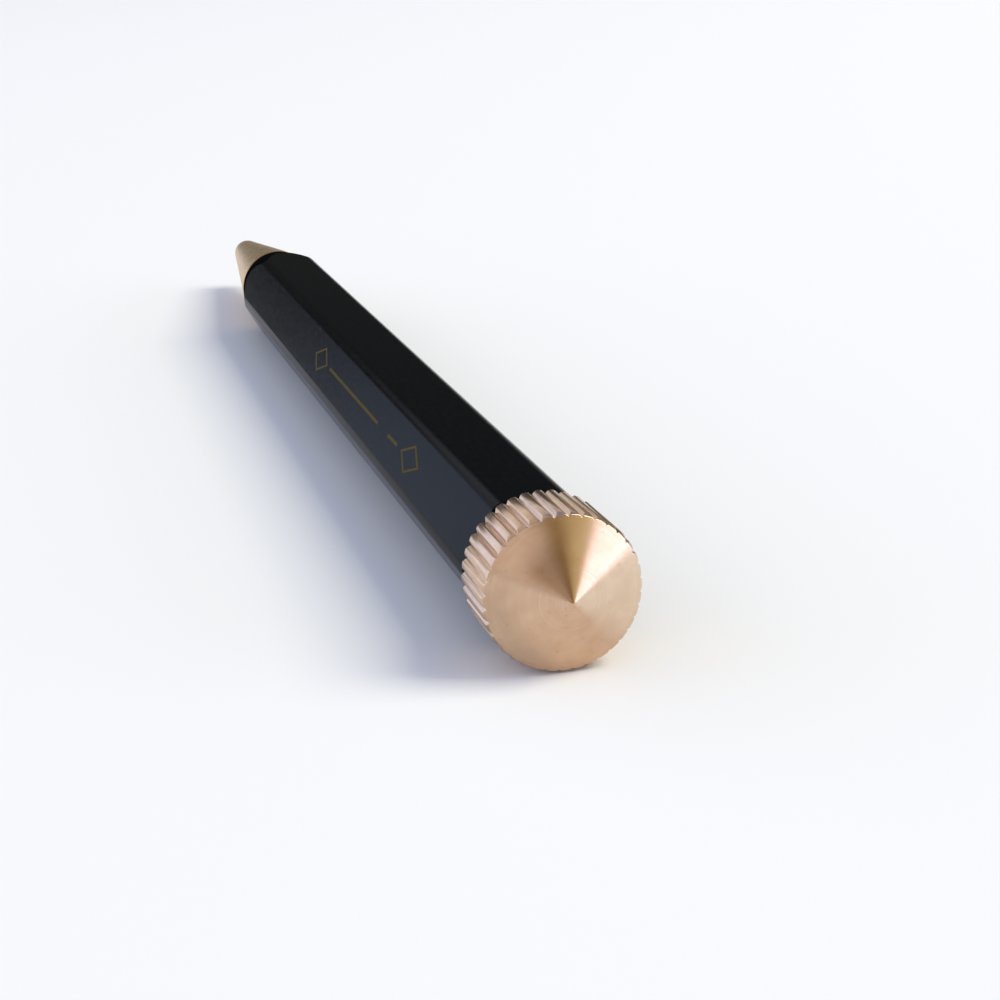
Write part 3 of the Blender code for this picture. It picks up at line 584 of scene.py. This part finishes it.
def makeNose():
    shape = noseShape
    tip, lip = shape["tipX"], shape["tipRound"]
    edge = [(tip - lip + lip * math.sin(a), shape["tipRadius"] - lip + lip * math.cos(a))
            for a in map(math.radians, shape["tipArc"])]
    fall = (shape["baseRadius"] - shape["tipRadius"]) / (tip - shape["baseX"])
    stations = [
        (tip, shape["pointBore"] + shape["boreRound"]), *reversed(edge),
        (shape["baseX"] + shape["baseRound"], shape["baseRadius"] - fall * shape["baseRound"]),
        (shape["baseX"], shape["baseRadius"] - shape["baseRound"]),
        (shape["baseX"], shape["shankRadius"]), (shape["shankX"], shape["shankRadius"]),
        (shape["shankX"], shape["chamberRadius"]), (shape["chamberX"], shape["chamberRadius"]),
        (shape["chamberX"], shape["pointBore"]), (tip - shape["boreRound"], shape["pointBore"])]
    nose = turnPiece("nose_shell", stations, shape["sides"], "joined")
    shadeSmooth(nose, shape["smoothAngle"])
    nose.data.materials.append(paleBrass)
    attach(nose, "barrel_body")
    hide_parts("nose_cone")
    print("nose:", len(nose.data.polygons), "faces")


makeNose()


# Refill point and its ball

pointShape = dict(
    endX=0.06948, rearX=0.06418, coneLength=0.0021, radius=0.0011, endRadius=0.00062, spigotRadius=0.00045,
    spigotLength=0.0020, channel=0.00022, socketRadius=0.0006, socketSteps=16, sides=64, smoothAngle=30)
ballShape = dict(centreX=0.0691, radius=0.0005, poleAngle=89.5, steps=32, sides=48, smoothAngle=40)


def sphereArc(radius, low, high, steps):  # stations round the ball's centre
    turns = [low + (high - low) * i / steps for i in range(steps + 1)]
    return [(ballShape["centreX"] + radius * math.sin(a), radius * math.cos(a)) for a in turns]


def makePoint():
    shape = pointShape
    end = shape["endX"]
    high = math.asin((end - ballShape["centreX"]) / shape["socketRadius"])
    low = -math.acos(shape["channel"] / shape["socketRadius"])
    coneX = end - shape["coneLength"]
    spigotX = shape["rearX"] - shape["spigotLength"]
    point = turnPiece("point_shell", [
        (end, shape["endRadius"]), (coneX, shape["radius"]), (shape["rearX"], shape["radius"]),
        (shape["rearX"], shape["spigotRadius"]), (spigotX, shape["spigotRadius"]),
        (spigotX, shape["channel"]), *sphereArc(shape["socketRadius"], low, high, shape["socketSteps"]),
    ], shape["sides"], "joined")
    shadeSmooth(point, shape["smoothAngle"])
    point.data.materials.append(nickelSilver)
    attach(point, "refill_body")
    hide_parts("refill_point")
    return point


def makeBall():
    shape = ballShape
    pole = math.radians(shape["poleAngle"])
    ball = turnPiece(
        "ball_shell", sphereArc(shape["radius"], -pole, pole, shape["steps"]), shape["sides"], "pointed")
    shadeSmooth(ball, shape["smoothAngle"])
    ball.data.materials.append(carbide)
    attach(ball, "ball_body")
    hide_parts("writing_ball")
    return ball


point, ball = makePoint(), makeBall()
print("point and ball:", len(point.data.polygons) + len(ball.data.polygons), "faces")


# Return spring: one wire, closed at both ends

springShape = dict(
    rearX=0.0358, frontX=0.0615, wire=0.00018, wireSteps=4, radius=0.00163, turns=13, perTurn=40,
    endPitch=0.00085, travel=0.0040, weld=0.000001, smoothAngle=40)


def makeSpring():
    shape = springShape
    first, last = shape["rearX"] + shape["wire"], shape["frontX"] - shape["wire"]
    openPitch = (last - first - 2 * shape["endPitch"]) / (shape["turns"] - 2)
    line = bpy.data.curves.new("coil_wire", "CURVE")
    line.dimensions = "3D"
    line.bevel_depth = shape["wire"]
    line.bevel_resolution = shape["wireSteps"]
    line.use_fill_caps = True
    path = line.splines.new("POLY")
    path.points.add(shape["turns"] * shape["perTurn"])  # it starts with one point
    for i, point in enumerate(path.points):
        turn = i / shape["perTurn"]
        closed = min(turn, 1) + max(turn - shape["turns"] + 1, 0)
        x = first + shape["endPitch"] * closed + openPitch * (turn - closed)
        angle = 2 * math.pi * turn
        point.co = (x, shape["radius"] * math.sin(angle), axisZ - shape["radius"] * math.cos(angle), 1)
    spring = bpy.data.objects.new("coil_wire", line)
    bpy.context.scene.collection.objects.link(spring)
    hold(spring)
    bpy.ops.object.convert(target="MESH")
    spring = bpy.context.object
    editAll()
    bpy.ops.mesh.remove_doubles(threshold=shape["weld"])
    outwards()
    shadeSmooth(spring, shape["smoothAngle"])
    spring.data.materials.append(springSteel)
    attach(spring, "barrel_body")
    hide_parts("return_spring")
    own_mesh(spring)
    print("spring:", len(spring.data.polygons), "faces")


makeSpring()


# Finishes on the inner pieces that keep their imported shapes

innerFinish = dict(
    knob_sleeve=whiteAcetal, cam_rotor=whiteAcetal, retaining_ring=clipSteel, stem_o_ring=blackRubber,
    rear_bush=mechanismBrass, thrust_washer=clipSteel, mechanism_housing=mechanismBrass,
    guide_collar=mechanismBrass, cam_follower=whiteAcetal, cam_pin=refillSteel, refill_plug=bluePlug,
    refill_tube=refillSteel, ink_column=inkFilm, refill_nose=mechanismBrass)
for nodeName, finish in innerFinish.items():
    held = cadNodes[nodeName]
    held.data.materials.clear()
    held.data.materials.append(finish)
print("inner pieces finished:", len(innerFinish))


# Stage: pale floor, soft light, and the camera at the photograph's angle

floorLook = dict(
    radius=1.8, sides=160, colour=(0.86, 0.863, 0.876), roughness=0.75, x=-0.063,
    knobProud=0.0009, restLength=0.1054)  # the pen lies on its knob and the front of its lower flat
skyLook = dict(  # colours, each with the span of x, y or z over which it comes in
    rightSky=(0.30, 0.29, 0.25), farSky=(0.055, 0.058, 0.055), farFromY=(-0.36, -0.28),
    highSky=(0.98, 1.02, 1.05), highSlant=0.5, highFrom=(0.33, 0.40),
    leftSky=(1.12, 1.32, 1.79), leftFromY=(0.25, 0.38),
    backRoom=(0.80, 0.77, 0.76), backFromX=(0.05, -0.25),
    backLeft=(0.90, 0.87, 0.87), backLeftFromY=(0.08, 0.42),
    backGold=(0.77, 0.73, 0.47), backGoldFromY=(-0.02, -0.20),
    backDark=(0.34, 0.25, 0.10), backDarkY=-0.18, backDarkFrom=(0.25, 0.03),
    skirting=(0.36, 0.31, 0.27), skirtingFromY=(0.0, 0.1), skirtingZ=(-0.02, 0.018, 0.008),
    window=(2.35, 2.42, 3.1), windowY=(-0.95, -0.60, 0.05), windowZ=(-0.01, 0.42, 0.03),
    zenith=(0.32, 0.38, 0.60), zenithFromZ=(0.52, 0.70),
    zenithLeft=(0.66, 0.63, 0.56), zenithLeftY=(-0.05, 0.80, 0.08), zenithLeftFromX=(0.05, 0.20),
    backdrop=(0.86, 0.88, 0.91))
keyLight = dict(
    name="key_softbox", spot=(-0.72, -2.48, 2.85), size=(2.0, 2.0), power=114.5, colour=(1.0, 0.96, 0.75))
cameraView = dict(
    lens=75.0, sensor=36.0, nearest=0.01, spot=(-0.19125, 0.0357, 0.0503),
    ahead=(0.92751, -0.23925, -0.28720), up=(0.26882, -0.10695, 0.95724))


def makeFloor():
    lean = math.atan(floorLook["knobProud"] / floorLook["restLength"])
    clearSelection()
    bpy.ops.mesh.primitive_circle_add(
        vertices=floorLook["sides"], radius=floorLook["radius"], fill_type="NGON",
        location=(floorLook["x"], 0, 0), rotation=(0, -lean, 0))
    floor = settle(bpy.context.object, "floor")
    finish, _, shader = newFinish("floor_white", floorLook["colour"], 0.0, floorLook["roughness"])
    shader.inputs["Specular IOR Level"].default_value = 0.0
    floor.data.materials.append(finish)


def hump(tree, value, low, high, soft):  # 1 between low and high
    up = spread(tree, value, low - soft, low + soft)
    down = spread(tree, value, high + soft, high - soft)
    return times(tree, up, down)


def makeWorld():
    look = skyLook
    world = bpy.data.worlds.new("studio")
    world.use_nodes = True
    bpy.context.scene.world = world
    tree = world.node_tree
    direction = tree.nodes.new("ShaderNodeTexCoord").outputs["Generated"]
    x, y, z = (addNode(tree, "SeparateXYZ", {0: direction}, axis) for axis in "XYZ")

    # ahead of the camera
    ahead = tint(tree, spread(tree, y, *look["farFromY"]), look["rightSky"], look["farSky"])
    slant = addNode(tree, "Math", {0: y, 1: look["highSlant"], 2: z}, operation="MULTIPLY_ADD")
    ahead = tint(tree, spread(tree, slant, *look["highFrom"]), ahead, look["highSky"])
    ahead = tint(tree, spread(tree, y, *look["leftFromY"]), ahead, look["leftSky"])

    # behind it
    behind = tint(tree, spread(tree, y, *look["backLeftFromY"]), look["backRoom"], look["backLeft"])
    behind = tint(tree, spread(tree, y, *look["backGoldFromY"]), behind, look["backGold"])
    nearDark = spread(tree, awayFrom(tree, y, look["backDarkY"]), *look["backDarkFrom"])
    behind = tint(tree, nearDark, behind, look["backDark"])
    lowLeft = times(tree, spread(tree, y, *look["skirtingFromY"]), hump(tree, z, *look["skirtingZ"]))
    behind = tint(tree, lowLeft, behind, look["skirting"])
    inWindow = times(tree, hump(tree, y, *look["windowY"]), hump(tree, z, *look["windowZ"]))
    behind = tint(tree, inWindow, behind, look["window"])
    sky = tint(tree, spread(tree, x, *look["backFromX"]), ahead, behind)

    # overhead, and the plain backdrop that the camera sees
    above = tint(tree, hump(tree, y, *look["zenithLeftY"]), look["zenith"], look["zenithLeft"])
    above = tint(tree, spread(tree, x, *look["zenithLeftFromX"]), look["zenith"], above)
    sky = tint(tree, spread(tree, z, *look["zenithFromZ"]), sky, above)
    seen = tree.nodes.new("ShaderNodeLightPath").outputs["Is Camera Ray"]
    background = tree.nodes["Background"]
    tree.links.new(tint(tree, seen, sky, look["backdrop"]), background.inputs["Color"])
    background.inputs["Strength"].default_value = 1.0


def makeLight():
    lamp = bpy.data.lights.new(keyLight["name"], "AREA")
    lamp.shape = "RECTANGLE"
    lamp.size, lamp.size_y = keyLight["size"]
    lamp.energy = keyLight["power"]
    lamp.color = keyLight["colour"]
    holder = bpy.data.objects.new(keyLight["name"], lamp)
    holder.location = keyLight["spot"]
    holder.rotation_euler = (-Vector(keyLight["spot"])).to_track_quat("-Z", "Y").to_euler()
    bpy.context.scene.collection.objects.link(holder)


def makeCamera():
    ahead = Vector(cameraView["ahead"]).normalized()
    right = ahead.cross(Vector(cameraView["up"])).normalized()
    up = right.cross(ahead)
    lens = bpy.data.cameras.new("photo_view")
    lens.sensor_width = cameraView["sensor"]
    lens.lens = cameraView["lens"]
    lens.clip_start = cameraView["nearest"]
    camera = bpy.data.objects.new("photo_view", lens)
    turn = Matrix((right, up, -ahead)).transposed()
    camera.matrix_world = Matrix.Translation(cameraView["spot"]) @ turn.to_4x4()
    bpy.context.scene.collection.objects.link(camera)
    bpy.context.scene.camera = camera


makeFloor()
makeWorld()
makeLight()
makeCamera()
bpy.context.scene.view_settings.view_transform = "Standard"
print("stage ready")
